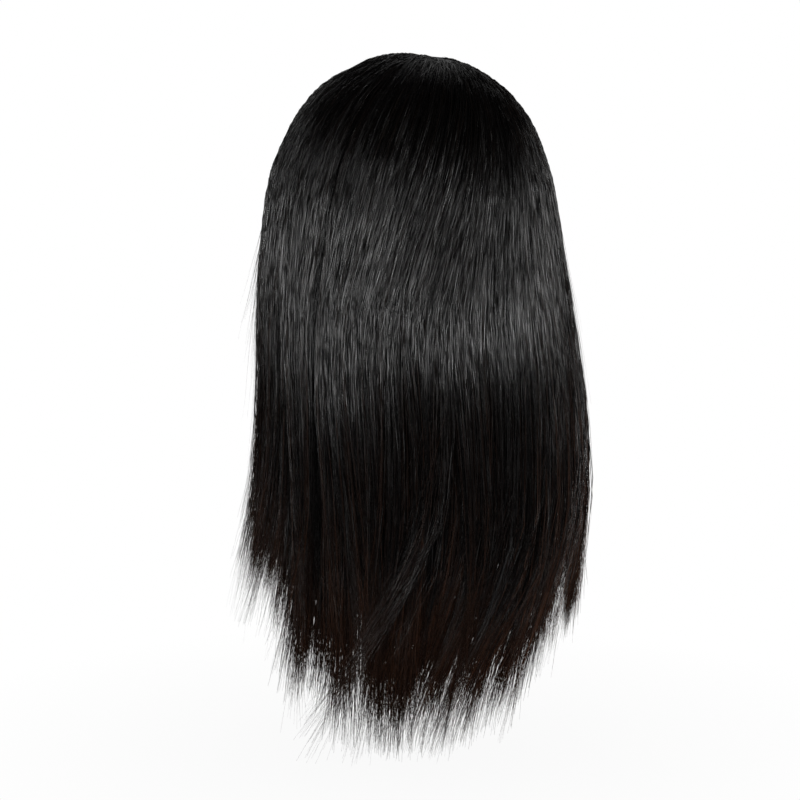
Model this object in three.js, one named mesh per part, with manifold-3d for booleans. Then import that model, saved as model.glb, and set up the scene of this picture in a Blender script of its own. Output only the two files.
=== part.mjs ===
// A lace closure wig: a net cap with a lace panel let into its crown, and layers of long straight
// hair that hang from the lace and from rows of weft sewn round the cap.
// Millimetres, +Z up. The wearer faces -Y, so +X is the wearer's left.
// The origin is the point inside the cap that sits on the top of the head.

import * as THREE from "three";
import { mergeVertices } from "three/addons/utils/BufferGeometryUtils.js";
import Module from "manifold-3d";

// Driving dimensions

const RING_Z = -75; // the ring is the level where the head is widest
const DROP_SCALE = 100; // below the ring, a run of 1 is this far down
const CAP_WALL = 1.2; // stretch net with its sewn tape
const LAYER_GAP = 0.4; // between one layer of hair and the next
const SEAM_HALF = 0.4; // degrees, half the gap between two layers that lie side by side
const COLUMN_STEP = 9; // degrees between the columns of a curved wall
const LEAST_STEP = 2; // no column lies closer than this to a piece's edge

const PART_FRONT = 0.87; // how far forward the parting runs, as a share of the front half
const CAP_RIDGE_FRONT = 0.86;
const FRONT_AZIMUTH = 144; // the hair's edge beside the face
const CROWN_AZIMUTH = 90; // the crown hair meets the closure's hair here
const BACK_AZIMUTH = 72; // the back wefts meet the side wefts here, behind the ears

const ROOT_RUN = 0.03; // where the outer hair starts beside the parting
const ROOT_RISE = 0.85; // thickness of the outer hair at its roots, as a share of its full thickness
const RISE_RUN = 0.3; // the run over which it reaches that full thickness
const WEFT_STEP = 0.06; // the run in which a layer climbs onto the weft below it
const WEFT_DEPTH = 0.25; // depth of a weft's own hair at its stitched edge
const WEFT_SPREAD = 0.6; // the run over which a weft's hair fills out

const TIP_TAPER = 0.75; // how much thinner a layer is at its tips
const TAPER_RUN = 0.9;
const LOCK_TOOTH = 6; // alternate locks end this much above and below the hem
const FLICK_TOP_Z = -190; // the hem turns out or in below this level
const FLICK_DROP = 100;

const CLOSURE_HALF_WIDTH = 42; // in plan; about 100 mm over the curve, a four inch closure
const CLOSURE_FRONT_Y = -115; // past the front edge, so that the lace makes the hairline
const CLOSURE_BACK_Y = -6;
const CLOSURE_CORNER = 12;
const CLOSURE_GAP = 0.3;
const CORNER_SEGMENTS = 6;
const WELD_DISTANCE = 1e-3;

// The three skins that everything lies on. Above the ring each is a dome of the stated height, and
// below it each row is a level cut: half the width, the depths behind and before the crown, and how
// far the cut leans to the wearer's left.

const HEAD = {
  height: 75,
  sections: [
    { z: -75, half_width: 73, back: 92, front: 104, lean: 0 },
    { z: -105, half_width: 73, back: 94, front: 102, lean: 0 },
    { z: -135, half_width: 71, back: 90, front: 98, lean: 0 },
    { z: -160, half_width: 66.5, back: 81, front: 95, lean: 0 },
    { z: -190, half_width: 60, back: 69, front: 92, lean: 0 },
  ],
};

const HAIR_INSIDE = {
  height: 77.2,
  sections: [
    { z: -75, half_width: 75.3, back: 94.3, front: 106.3, lean: 0 },
    { z: -105, half_width: 75.4, back: 96.3, front: 104, lean: 0 },
    { z: -135, half_width: 74, back: 92.4, front: 100, lean: 0 },
    { z: -160, half_width: 71.5, back: 83.6, front: 97, lean: -0.5 },
    { z: -190, half_width: 70, back: 73, front: 94, lean: -2 },
    { z: -230, half_width: 70, back: 70, front: 91, lean: -4 },
    { z: -300, half_width: 71, back: 70, front: 88, lean: -3.5 },
    { z: -360, half_width: 74, back: 74, front: 86, lean: 0 },
  ],
};

const HAIR_OUTSIDE = {
  height: 86,
  sections: [
    { z: -75, half_width: 79, back: 103, front: 111, lean: 0 },
    { z: -105, half_width: 82.4, back: 106, front: 110, lean: -0.5 },
    { z: -135, half_width: 86, back: 107, front: 108, lean: -2 },
    { z: -180, half_width: 90, back: 107, front: 104, lean: -4.6 },
    { z: -225, half_width: 93.5, back: 106, front: 100, lean: -6 },
    { z: -250, half_width: 94.5, back: 105, front: 98.5, lean: -6 },
    { z: -300, half_width: 94, back: 102, front: 96, lean: -4 },
    { z: -360, half_width: 90, back: 95, front: 92, lean: 0 },
  ],
};

// The cap's edge round the head, from the nape, over the ear and its tab, to the forehead.
const CAP_EDGE = [
  { azimuth: 0, run: 2.1 },
  { azimuth: 30, run: 2.06 },
  { azimuth: 50, run: 1.9 },
  { azimuth: 65, run: 1.6 },
  { azimuth: 80, run: 1.16 },
  { azimuth: 92, run: 1.03 },
  { azimuth: 106, run: 1.06 },
  { azimuth: 118, run: 1.22 },
  { azimuth: 130, run: 1.18 },
  { azimuth: 140, run: 1.0 },
  { azimuth: 150, run: 0.8 },
  { azimuth: 160, run: 0.62 },
  { azimuth: 170, run: 0.45 },
  { azimuth: 180, run: 0.3 },
];

// The outer hair's hem: where its tips end, and how far they turn out (or in, below zero).
const HEM = [
  { azimuth: -144, z: -278, flick: 0 },
  { azimuth: -110, z: -283, flick: -2 },
  { azimuth: -90, z: -290, flick: -7 },
  { azimuth: -70, z: -299, flick: -6 },
  { azimuth: -52, z: -309, flick: -2 },
  { azimuth: -36, z: -320, flick: 0 },
  { azimuth: -18, z: -330, flick: 0 },
  { azimuth: 0, z: -331, flick: 0 },
  { azimuth: 20, z: -330, flick: 0 },
  { azimuth: 38, z: -324, flick: 0 },
  { azimuth: 52, z: -312, flick: 0 },
  { azimuth: 59, z: -285, flick: 4 },
  { azimuth: 72, z: -273, flick: 10 },
  { azimuth: 95, z: -271, flick: 12 },
  { azimuth: 115, z: -272, flick: 5 },
  { azimuth: 144, z: -270, flick: 0 },
];

// The layers of hair from the outside in: where each is rooted, the share of the hair's depth at
// which its outer face hangs, and how much longer than the hem it is.
const OUTER = { root: ROOT_RUN, outer_share: 1, longer: 0 };
const UNDER = { root: 0.7, outer_share: 0.6, longer: 8 };
const LOW = { root: 1.12, outer_share: 0.4, longer: 14 };
const NAPE = { root: 1.55, outer_share: 0.2, longer: 20 };

// Each piece of hair: its layer, the layer that it lies on, and its stretch round the head.
const HAIR_PIECES = [
  { name: "closure_hair_left", layer: OUTER, on: UNDER, from: CROWN_AZIMUTH, to: FRONT_AZIMUTH },
  { name: "closure_hair_right", layer: OUTER, on: UNDER, from: -FRONT_AZIMUTH, to: -CROWN_AZIMUTH },
  { name: "crown_hair", layer: OUTER, on: UNDER, from: -CROWN_AZIMUTH, to: CROWN_AZIMUTH },
  { name: "side_weft_hair_left", layer: UNDER, on: null, from: BACK_AZIMUTH, to: FRONT_AZIMUTH },
  { name: "side_weft_hair_right", layer: UNDER, on: null, from: -FRONT_AZIMUTH, to: -BACK_AZIMUTH },
  { name: "upper_back_weft_hair", layer: UNDER, on: LOW, from: -BACK_AZIMUTH, to: BACK_AZIMUTH },
  { name: "lower_back_weft_hair", layer: LOW, on: NAPE, from: -BACK_AZIMUTH, to: BACK_AZIMUTH },
  { name: "nape_weft_hair", layer: NAPE, on: null, from: -BACK_AZIMUTH, to: BACK_AZIMUTH },
];

// Levels at which the walls of the hair are cut, as runs; every layer shares them, so that the
// faces of two layers stay parallel.
const HAIR_RUNS = [
  0.03, 0.15, 0.28, 0.42, 0.56, 0.64, 0.7, 0.8, 0.9, 1, 1.06, 1.12, 1.3, 1.49, 1.55, 1.8, 2.1, 2.5,
];
const CAP_SHARES = [0, 0.14, 0.28, 0.42, 0.56, 0.68, 0.78, 0.87, 0.94, 1]; // of the run to its edge

// Reading a table: the value of one column, on a straight line between two rows

function tableAt(rows, key, at, column) {
  const first = rows[0];
  const rising = rows[rows.length - 1][key] > first[key];
  const past = rows.findIndex((row) => (rising ? row[key] >= at : row[key] <= at));
  if (past === 0) return first[column];
  if (past < 0) return rows[rows.length - 1][column];
  const low = rows[past - 1];
  const high = rows[past];
  return THREE.MathUtils.mapLinear(at, low[key], high[key], low[column], high[column]);
}

const runToZ = (run) => RING_Z - (run - 1) * DROP_SCALE;
const zToRun = (z) => 1 + (RING_Z - z) / DROP_SCALE;

// A point on a skin. The azimuth runs round the head in degrees from the back, towards the wearer's
// left. The run is 0 on the parting, 1 at the ring and more below it. rootShare says where on the
// midline that line of hair starts: 0 at the crown, and towards -1 at the forehead.

function skinPoint(skin, azimuth, run, rootShare, offset = 0) {
  const angle = THREE.MathUtils.degToRad(azimuth);
  const side = Math.sin(angle);
  const rear = Math.cos(angle);
  if (run > 1) {
    const z = runToZ(run);
    const width = tableAt(skin.sections, "z", z, "half_width") + offset;
    const depth = tableAt(skin.sections, "z", z, rear > 0 ? "back" : "front") + offset;
    const lean = tableAt(skin.sections, "z", z, "lean");
    return new THREE.Vector3(width * side + lean, depth * rear, z);
  }
  const ring = skin.sections[0];
  const reach = Math.sin((run * Math.PI) / 2);
  const across = reach * side;
  const along = THREE.MathUtils.lerp(rootShare, rear, reach);
  const up = Math.sqrt(Math.max(0, 1 - across ** 2 - along ** 2));
  const depth = (along > 0 ? ring.back : ring.front) + offset;
  const z = RING_Z + (skin.height + offset) * up;
  return new THREE.Vector3((ring.half_width + offset) * across, depth * along, z);
}

// Where on the midline a line starts: at the crown for the back half, then forward along the ridge.
function rootShareAt(azimuth, frontAzimuth, frontShare) {
  const forward = (Math.abs(azimuth) - CROWN_AZIMUTH) / (frontAzimuth - CROWN_AZIMUTH);
  return -frontShare * Math.max(0, forward);
}

// A point in the hair: depth is 0 on its inside and 1 on its outside.
function hairPoint(azimuth, run, depth) {
  const rootShare = rootShareAt(azimuth, FRONT_AZIMUTH, PART_FRONT);
  const inside = skinPoint(HAIR_INSIDE, azimuth, run, rootShare);
  const outside = skinPoint(HAIR_OUTSIDE, azimuth, run, rootShare);
  const rise = THREE.MathUtils.lerp(ROOT_RISE, 1, THREE.MathUtils.smoothstep(run, 0, RISE_RUN));
  const point = inside.lerp(outside, depth * rise);
  const turned = THREE.MathUtils.clamp((FLICK_TOP_Z - point.z) / FLICK_DROP, 0, 1) ** 2;
  const flick = tableAt(HEM, "azimuth", azimuth, "flick") * turned;
  const angle = THREE.MathUtils.degToRad(azimuth);
  return point.add(new THREE.Vector3(Math.sin(angle) * flick, Math.cos(angle) * flick, 0));
}

// The depth at which a layer's outer face lies, where the layer above climbs over its weft.
function outerFaceDepth(layer, run) {
  if (!layer) return 0;
  if (layer === OUTER) return 1;
  if (run < layer.root) {
    return WEFT_DEPTH * Math.max(0, 1 - (layer.root - run) / WEFT_STEP);
  }
  const spread = THREE.MathUtils.smoothstep(run, layer.root, layer.root + WEFT_SPREAD);
  return THREE.MathUtils.lerp(WEFT_DEPTH, layer.outer_share, spread);
}

// Closed walls from a grid of points on their outer and inner faces. grid[column][row] runs round
// the head and then down. A ring-shaped grid has its first column again as its last.

function wallGeometry(outer, inner, isRing) {
  const positions = [];
  const quad = (a, b, c, d) => {
    for (const p of [a, b, c, a, c, d]) positions.push(p.x, p.y, p.z);
  };
  const lastColumn = outer.length - 1;
  const lastRow = outer[0].length - 1;
  for (let i = 0; i < lastColumn; i++) {
    for (let j = 0; j < lastRow; j++) {
      quad(outer[i][j], outer[i + 1][j], outer[i + 1][j + 1], outer[i][j + 1]);
      quad(inner[i][j], inner[i][j + 1], inner[i + 1][j + 1], inner[i + 1][j]);
    }
    quad(outer[i][lastRow], outer[i + 1][lastRow], inner[i + 1][lastRow], inner[i][lastRow]);
    if (!isRing) quad(inner[i][0], inner[i + 1][0], outer[i + 1][0], outer[i][0]);
  }
  for (let j = 0; j < lastRow && !isRing; j++) {
    quad(outer[0][j], outer[0][j + 1], inner[0][j + 1], inner[0][j]);
    const o = outer[lastColumn];
    const n = inner[lastColumn];
    quad(n[j], n[j + 1], o[j + 1], o[j]);
  }
  const geometry = new THREE.BufferGeometry();
  geometry.setAttribute("position", new THREE.Float32BufferAttribute(positions, 3));
  return weld(geometry);
}

// Joins the vertices that coincide and drops the triangles that this closes up.
function weld(geometry) {
  const bare = new THREE.BufferGeometry();
  bare.setAttribute("position", geometry.getAttribute("position"));
  bare.setIndex(geometry.getIndex());
  const merged = mergeVertices(bare, WELD_DISTANCE);
  const kept = [];
  const index = merged.getIndex().array;
  for (let i = 0; i < index.length; i += 3) {
    const [a, b, c] = [index[i], index[i + 1], index[i + 2]];
    if (a !== b && b !== c && c !== a) kept.push(a, b, c);
  }
  merged.setIndex(kept);
  return merged;
}

// Solids for cutting and back again

const wasm = await Module();
wasm.setup();

function toSolid(geometry) {
  const welded = weld(geometry);
  const vertProperties = new Float32Array(welded.getAttribute("position").array);
  const triVerts = new Uint32Array(welded.getIndex().array);
  return new wasm.Manifold(new wasm.Mesh({ numProp: 3, vertProperties, triVerts }));
}

function toGeometry(solid) {
  const mesh = solid.getMesh();
  const geometry = new THREE.BufferGeometry();
  geometry.setAttribute("position", new THREE.Float32BufferAttribute(mesh.vertProperties, 3));
  geometry.setIndex(Array.from(mesh.triVerts));
  return geometry;
}

// Columns from one azimuth to another, at the same steps in every piece so that faces stay parallel
function columnsBetween(from, to) {
  const columns = [from];
  for (let azimuth = -180; azimuth < to - LEAST_STEP; azimuth += COLUMN_STEP) {
    if (azimuth > from + LEAST_STEP) columns.push(azimuth);
  }
  return [...columns, to];
}

// The whole dome of cap and lace, before the closure is cut out of it
function domeSolid() {
  const wall = (offset) =>
    columnsBetween(-180, 180).map((azimuth) => {
      const rootShare = rootShareAt(azimuth, 180, CAP_RIDGE_FRONT);
      const edge = tableAt(CAP_EDGE, "azimuth", Math.abs(azimuth), "run");
      return CAP_SHARES.map((share) => skinPoint(HEAD, azimuth, share * edge, rootShare, offset));
    });
  return toSolid(wallGeometry(wall(CAP_WALL), wall(0), true));
}

// The closure's outline in plan with round corners at the crown, as a prism through the dome
function closurePrism(margin) {
  const x = CLOSURE_HALF_WIDTH + margin;
  const y = CLOSURE_BACK_Y + margin;
  const r = CLOSURE_CORNER;
  const outline = new THREE.Shape();
  outline.moveTo(-x, CLOSURE_FRONT_Y);
  outline.lineTo(x, CLOSURE_FRONT_Y);
  outline.lineTo(x, y - r);
  outline.absarc(x - r, y - r, r, 0, Math.PI / 2, false);
  outline.lineTo(-x + r, y);
  outline.absarc(-x + r, y - r, r, Math.PI / 2, Math.PI, false);
  const height = 2 * HEAD.height;
  const prism = new THREE.ExtrudeGeometry(outline, {
    depth: height,
    bevelEnabled: false,
    curveSegments: CORNER_SEGMENTS,
  });
  return toSolid(prism.translate(0, 0, HEAD.height - height));
}

// One piece of hair, from its root to its tips, with alternate locks longer and shorter
function hairGeometry({ layer, on, from, to }) {
  const columns = columnsBetween(from + SEAM_HALF, to - SEAM_HALF);
  const hangingRuns = HAIR_RUNS.filter((run) => run >= layer.root);
  const lastRun = hangingRuns[hangingRuns.length - 1];
  const outer = [];
  const inner = [];
  columns.forEach((azimuth, i) => {
    const tooth = i % 2 ? LOCK_TOOTH : -LOCK_TOOTH;
    const tipRun = zToRun(tableAt(HEM, "azimuth", azimuth, "z") - layer.longer + tooth);
    const runs = [...hangingRuns, (lastRun + tipRun) / 2, tipRun];
    const faces = runs.map((run) => layerFaces(layer, on, azimuth, run, tipRun));
    outer.push(faces.map((face) => face.outer));
    inner.push(faces.map((face) => face.inner));
  });
  return wallGeometry(outer, inner, false);
}

// The two faces of a layer at one place, thinned towards the tips about its middle
function layerFaces(layer, on, azimuth, run, tipRun) {
  const thickness = hairPoint(azimuth, run, 0).distanceTo(hairPoint(azimuth, run, 1));
  const gap = LAYER_GAP / 2 / thickness;
  const outerDepth = outerFaceDepth(layer, run) - (layer === OUTER ? 0 : gap);
  const innerDepth = outerFaceDepth(on, run) + (on && run > on.root - WEFT_STEP ? gap : 0);
  const middle = (outerDepth + innerDepth) / 2;
  const tip = THREE.MathUtils.smoothstep(run, tipRun - TAPER_RUN, tipRun);
  const half = ((outerDepth - innerDepth) / 2) * (1 - TIP_TAPER * tip);
  return {
    outer: hairPoint(azimuth, run, middle + half),
    inner: hairPoint(azimuth, run, middle - half),
  };
}

// Materials

const NET = new THREE.MeshStandardMaterial({ color: 0x14110f, roughness: 0.9, metalness: 0 });
const LACE = new THREE.MeshStandardMaterial({ color: 0x8a6a52, roughness: 0.85, metalness: 0 });
const HAIR = new THREE.MeshStandardMaterial({ color: 0x120e0d, roughness: 0.4, metalness: 0 });

function piece(name, geometry, material) {
  const mesh = new THREE.Mesh(geometry, material);
  mesh.name = name;
  return mesh;
}

// The wig

const dome = domeSolid();
const wig = new THREE.Group();
wig.add(piece("cap", toGeometry(dome.subtract(closurePrism(CLOSURE_GAP))), NET));
wig.add(piece("lace_closure", toGeometry(dome.intersect(closurePrism(0))), LACE));
for (const hair of HAIR_PIECES) wig.add(piece(hair.name, hairGeometry(hair), HAIR));

export default wig;
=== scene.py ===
# %% [markdown]
# # A lace closure wig of long straight hair
#
# The real wig is a net cap with a lace panel, the closure, let into its crown. Hair is knotted into
# the lace and sewn round the cap in rows of weft, so it hangs in layers like the tiles of a roof.
# Hair in Blender could be a particle system or a curves object, but neither leaves the program as
# a mesh. Here every layer is one mesh of thin tapered tubes, each standing for a small bundle of
# real hairs, and all of them follow the layer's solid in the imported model.

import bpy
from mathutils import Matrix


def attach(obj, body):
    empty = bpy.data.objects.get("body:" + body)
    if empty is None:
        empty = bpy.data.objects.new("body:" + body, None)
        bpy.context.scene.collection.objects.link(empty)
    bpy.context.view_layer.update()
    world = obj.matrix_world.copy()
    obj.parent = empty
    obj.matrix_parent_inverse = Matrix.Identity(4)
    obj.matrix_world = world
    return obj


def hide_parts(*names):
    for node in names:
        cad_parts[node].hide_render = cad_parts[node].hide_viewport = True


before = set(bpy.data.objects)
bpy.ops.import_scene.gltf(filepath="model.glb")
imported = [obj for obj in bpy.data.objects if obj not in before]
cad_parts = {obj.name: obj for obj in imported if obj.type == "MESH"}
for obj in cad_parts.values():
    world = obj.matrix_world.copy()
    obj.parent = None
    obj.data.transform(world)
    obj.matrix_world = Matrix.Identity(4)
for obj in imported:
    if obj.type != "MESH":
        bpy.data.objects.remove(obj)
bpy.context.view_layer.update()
print("solids:", ", ".join(sorted(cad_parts)))

# %% [markdown]
# ## The form that the hair hangs in
#
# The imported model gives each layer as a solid, but a strand needs a line to follow. The lines come
# from short tables that follow the ones by which the solids were shaped. Above the ring, the level
# where the head is widest, a skin is a dome; below it each row of a table is a level cut through the
# hair. Reading tables keeps strands close to their solids, where a guide curve drawn by hand drifts.

# %% Tables, and how they are read
import math

import bmesh
import bpy
import numpy as np
from mathutils import Vector

MM = 0.001
RING_Z = -75.0
DROP_SCALE = 100.0  # below the ring a run of 1 is this far down


def table(names, rows):
    """A short table as a dict of columns."""
    return dict(zip(names.split(), np.array(rows, float).T))


def read(rows, key, column, at):
    """One column of a table, on straight lines between its rows."""
    way = 1 if rows[key][-1] > rows[key][0] else -1
    return np.interp(way * at, way * rows[key], rows[column])


print("ring at", RING_Z, "mm")

# %% Skins of the head and the hair, in millimetres
# A skin is the height of its dome over the ring, and cuts from the ring down. A cut has a level, half
# a width, a depth behind and before the middle, and a lean to the wearer's left.
CUT = "z half_width back front lean"
HEAD = dict(height=75, cuts=table(CUT, [
    (-75, 73, 92, 104, 0),
    (-105, 73, 94, 102, 0),
    (-135, 71, 90, 98, 0),
    (-160, 66.5, 81, 95, 0),
    (-190, 60, 69, 92, 0),
]))
HAIR_INSIDE = dict(height=77.2, cuts=table(CUT, [
    (-75, 75.3, 94.3, 106.3, 0),
    (-105, 75.4, 96.3, 104, 0),
    (-135, 74, 92.4, 100, 0),
    (-160, 71.5, 83.6, 97, -0.5),
    (-190, 70, 73, 94, -2),
    (-230, 70, 70, 91, -4),
    (-300, 71, 70, 88, -3.5),
    (-360, 74, 74, 86, 0),
]))
HAIR_OUTSIDE = dict(height=86, cuts=table(CUT, [
    (-75, 79.8, 103, 111, 0.5),
    (-105, 82.8, 106, 110, -0.4),
    (-135, 85.6, 107, 108, -2.6),
    (-180, 88.6, 107, 104, -6.8),
    (-225, 91.4, 106, 100, -8.0),
    (-250, 92.0, 105, 98.5, -7.0),
    (-300, 92.6, 102, 96, -4.5),
    (-360, 90, 95, 92, 0),
]))
print("cuts of the outside of the hair:", len(HAIR_OUTSIDE["cuts"]["z"]))

# %% The hem round the head
# At each azimuth: where the outer hair ends, how far its tips turn out, how far they are swept to
# the wearer's left, how deep the thinned-out fringe of tips is, how far loose hairs stand out, how
# many degrees the hair slants to the left as it falls, and how brown it is.
HEM = table("azimuth z flick sweep fringe halo slant brown", [
    (-144, -278, 0, 0, 30, 2, 0, 0.3),
    (-110, -285, -2, 2, 30, 5, 0, 0.5),
    (-90, -296, -7, 0, 32, 7, -2, 0.8),
    (-70, -314, -6, 14, 40, 5, 0, 0.7),
    (-52, -344, -2, 28, 50, 3, 5, 0.55),
    (-36, -352, 0, 38, 58, 2, 12, 0.45),
    (-20, -349, 0, 42, 62, 2, 20, 0.3),
    (-10, -348, 0, 34, 64, 2, 25, 0.2),
    (0, -347, 0, 14, 64, 2, 27, 0.15),
    (12, -346, 0, -6, 62, 2, 26, 0.2),
    (24, -343, 0, -8, 56, 2, 21, 0.2),
    (38, -336, 0, 2, 50, 2, 12, 0.15),
    (50, -324, 0, 9, 48, 4, 6, 0.1),
    (58, -298, 2, 9, 40, 9, 4, 0.1),
    (72, -278, 6, 6, 34, 11, 3, 0.1),
    (95, -274, 7, 0, 32, 10, 0, 0.15),
    (115, -276, 3, 0, 30, 7, 0, 0.2),
    (144, -274, 0, 0, 30, 3, 0, 0.2),
])
FLICK_TOP_Z, FLICK_DROP = -190.0, 100.0  # tips start to turn out here, and have done so this far down
print("rows of the hem:", len(HEM["z"]))

# %% [markdown]
# ## A point in the hair
#
# Three numbers place a hair: the azimuth round the head from the back, towards the wearer's left;
# the run, 0 at its root line on the crown, 1 at the ring and more below; and the depth, 0 on the
# inside of the hair and 1 on its outside. Seen from above, a hair crosses the dome on a straight
# line from its root to the ring, which is how combed hair lies.

# %% Skins, and the point between them
ROOT_RISE, RISE_RUN = 0.85, 0.3  # share of its depth that hair has on the crown, and the run to all


def smooth(low, high, value):
    """0 at low, 1 at high, and an S-curve between."""
    t = np.clip((value - low) / (high - low), 0, 1)
    return t * t * (3 - 2 * t)


def outward(azimuth):
    """The level direction away from the head."""
    angle = np.radians(azimuth)
    return np.stack([np.sin(angle), np.cos(angle), np.zeros_like(angle)], -1)


def dome_point(skin, across, along, level, offset=0.0):
    """Points on a skin from shares of its width and depth; at the ring's level or above, its dome."""
    cuts = skin["cuts"]
    up = np.sqrt(np.clip(1 - across**2 - along**2, 0, 1))
    depth = np.where(along > 0, read(cuts, "z", "back", level), read(cuts, "z", "front", level))
    x = (read(cuts, "z", "half_width", level) + offset) * across + read(cuts, "z", "lean", level)
    z = np.where(level < RING_Z, level, RING_Z + (skin["height"] + offset) * up)
    return np.stack([x, (depth + offset) * along, z], -1)


def skin_point(skin, azimuth, run, root_x, root_y, offset=0.0):
    """Points on a skin. The root is a place on the crown seen from above, in shares of the dome."""
    reach = np.sin(np.clip(run, 0, 1) * np.pi / 2)
    across = root_x * (1 - reach) + np.sin(np.radians(azimuth)) * reach
    along = root_y * (1 - reach) + np.cos(np.radians(azimuth)) * reach
    return dome_point(skin, across, along, RING_Z - (run - 1) * DROP_SCALE, offset)


def hair_point(azimuth, run, depth, root_x, root_y):
    """Points in the hair, with the hem's outward flick."""
    inside = skin_point(HAIR_INSIDE, azimuth, run, root_x, root_y)
    outside = skin_point(HAIR_OUTSIDE, azimuth, run, root_x, root_y)
    rise = ROOT_RISE + (1 - ROOT_RISE) * smooth(0, RISE_RUN, run)
    point = inside + (outside - inside) * (depth * rise)[..., None]
    turned = np.clip((FLICK_TOP_Z - point[..., 2]) / FLICK_DROP, 0, 1) ** 2
    return point + outward(azimuth) * (read(HEM, "azimuth", "flick", azimuth) * turned)[..., None]


low_back = skin_point(HAIR_OUTSIDE, np.array([0.0]), np.array([2.5]), 0, 0)[0]
print("back of the hair at a run of 2.5, mm:", low_back.round(1))

# %% [markdown]
# ## Layers that overlap
#
# A weft row is a strip of hair sewn to the cap along its top edge. The rows above fall over it, so
# each layer starts thin at its stitching and is pushed outwards where the next layer down begins.
# The outermost hair is of two kinds: the crown's, which falls down the back, and the closure's, which
# falls to both sides of the parting. A layer's faces depend on the run alone, as in the solids.

# %% The faces of a layer
WEFT_STEP, WEFT_SPREAD = 0.06, 0.6  # runs over which hair climbs on to a weft, and a weft spreads out
WEFT_DEPTH = 0.25  # depth of a weft at its stitching
# Each layer of wefts: the run of its first stitching, and the depth of its outer face far below.
WEFT_ROWS = {"under": (0.70, 0.6), "low": (1.12, 0.4), "nape": (1.55, 0.2)}


def face_depth(layer, run):
    """The depth of a layer's outer face: 1 for crown and closure hair, 0 where there is no layer."""
    if layer not in WEFT_ROWS:
        return np.full_like(run, 1.0 if layer else 0.0)
    root, full = WEFT_ROWS[layer]
    climbing = WEFT_DEPTH * np.clip(1 - (root - run) / WEFT_STEP, 0, 1)
    hanging = WEFT_DEPTH + (full - WEFT_DEPTH) * smooth(root, root + WEFT_SPREAD, run)
    return np.where(run < root, climbing, hanging)


print("depth of the upper wefts at a run of 2.5:", face_depth("under", np.array([2.5])).round(2))

# %% The pieces of hair
# Each piece of hair: its layer, the one it lies on, its stretch round the head, the runs of its
# first and last root rows, how much longer than the hem it is, and how many strands it has.
HAIR = {
    "nape_weft_hair": ("nape", None, -72, 72, 1.55, 1.95, 2, 1700),
    "lower_back_weft_hair": ("low", "nape", -72, 72, 1.12, 1.50, 0, 1700),
    "upper_back_weft_hair": ("under", "low", -72, 72, 0.70, 1.06, -3, 1900),
    "side_weft_hair_left": ("under", None, 70, 143, 0.70, 1.00, 0, 1500),
    "side_weft_hair_right": ("under", None, -143, -70, 0.70, 1.00, 0, 1300),
    "crown_hair": ("crown", "under", -95, 95, 0.012, 0.60, 0, 2480),
    "closure_hair_left": ("closure", "under", 83, 143, 0.003, 0.55, 0, 1800),
    "closure_hair_right": ("closure", "under", -143, -83, 0.003, 0.55, 0, 1800),
}
print("strands:", sum(row[-1] for row in HAIR.values()))

# %% [markdown]
# ## Locks, relief and furrows
#
# Straight hair never hangs as an even sheet. Neighbouring hairs cling into fine wisps, wisps into
# locks, and locks stand a millimetre or two proud of each other, which breaks the gloss into
# bands. Wisps and locks here are centres that each strand drifts towards as it falls. The relief
# is a few slow waves round the head, with deeper furrows where two locks part, and broad swells that
# tilt the hair into the light or out of it. Sculpting could do this too, but not strand by strand.

# %% Waves, furrows and swells
# Each wave: how often it comes round the head, its drift with the run, its phase and its height.
WAVES = table("per_turn drift phase height", [
    (9, 1.1, 0.4, 0.55),
    (16, -1.6, 2.1, 0.5),
    (27, 2.2, 4.0, 0.4),
    (44, -2.9, 1.2, 0.3),
])
# Each furrow: its azimuth, its lean in degrees a run, the runs where it starts and ends, its depth in
# millimetres and its width in degrees.
FURROWS = table("azimuth lean top low depth width", [
    (36, -5, 0.90, 2.10, 3.0, 1.6),
    (-7, -14, 0.85, 1.60, 2.6, 1.6),
    (16, -14, 0.90, 1.70, 1.8, 1.2),
    (53, -4, 0.75, 1.70, 2.0, 1.6),
    (-33, -3, 0.85, 1.90, 2.0, 1.4),
    (-50, 0, 0.60, 1.60, 2.2, 1.6),
])
# Each swell: the azimuth and run of its middle, its spread in both, and its height in millimetres.
SWELLS = table("azimuth run wide long height", [
    (-12, 1.60, 55, 0.58, 3.8),
    (-22, 1.80, 22, 0.40, 3.4),
    (-16, 1.08, 16, 0.25, 2.2),
    (27, 2.10, 24, 0.55, 6.5),
    (85, 0.70, 35, 0.25, -3.2),
    (-85, 0.75, 35, 0.25, -2.6),
    (75, 0.24, 45, 0.12, -22),
])
print("waves, furrows, swells:", len(WAVES["phase"]), len(FURROWS["top"]), len(SWELLS["run"]))

# %% Relief of the outer hair
FURROW_RUN = 1.3  # the run at which a leaning furrow is at its azimuth
FURROW_IN, FURROW_OUT = 0.25, 0.4  # runs over which a furrow opens and closes
FURROW_OPEN = 0.8  # how far a furrow pushes its hairs aside, as a share of its width
RELIEF_TOP, RELIEF_FULL = 0.1, 0.7  # runs between which the relief fades in


def furrow_pull(azimuth, run):
    """How deep hair sinks into the furrows, in millimetres, and how far it parts, in degrees."""
    sunk, aside = np.zeros_like(run), np.zeros_like(run)
    for middle, lean, top, low, deep, wide in zip(*FURROWS.values()):
        off = (azimuth - middle - lean * (FURROW_RUN - run)) / wide
        along = smooth(top, top + FURROW_IN, run) * smooth(low, low - FURROW_OUT, run)
        near = along * np.exp(-(off**2))
        sunk += deep * near
        aside += FURROW_OPEN * wide * off * near
    return sunk, aside


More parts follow.
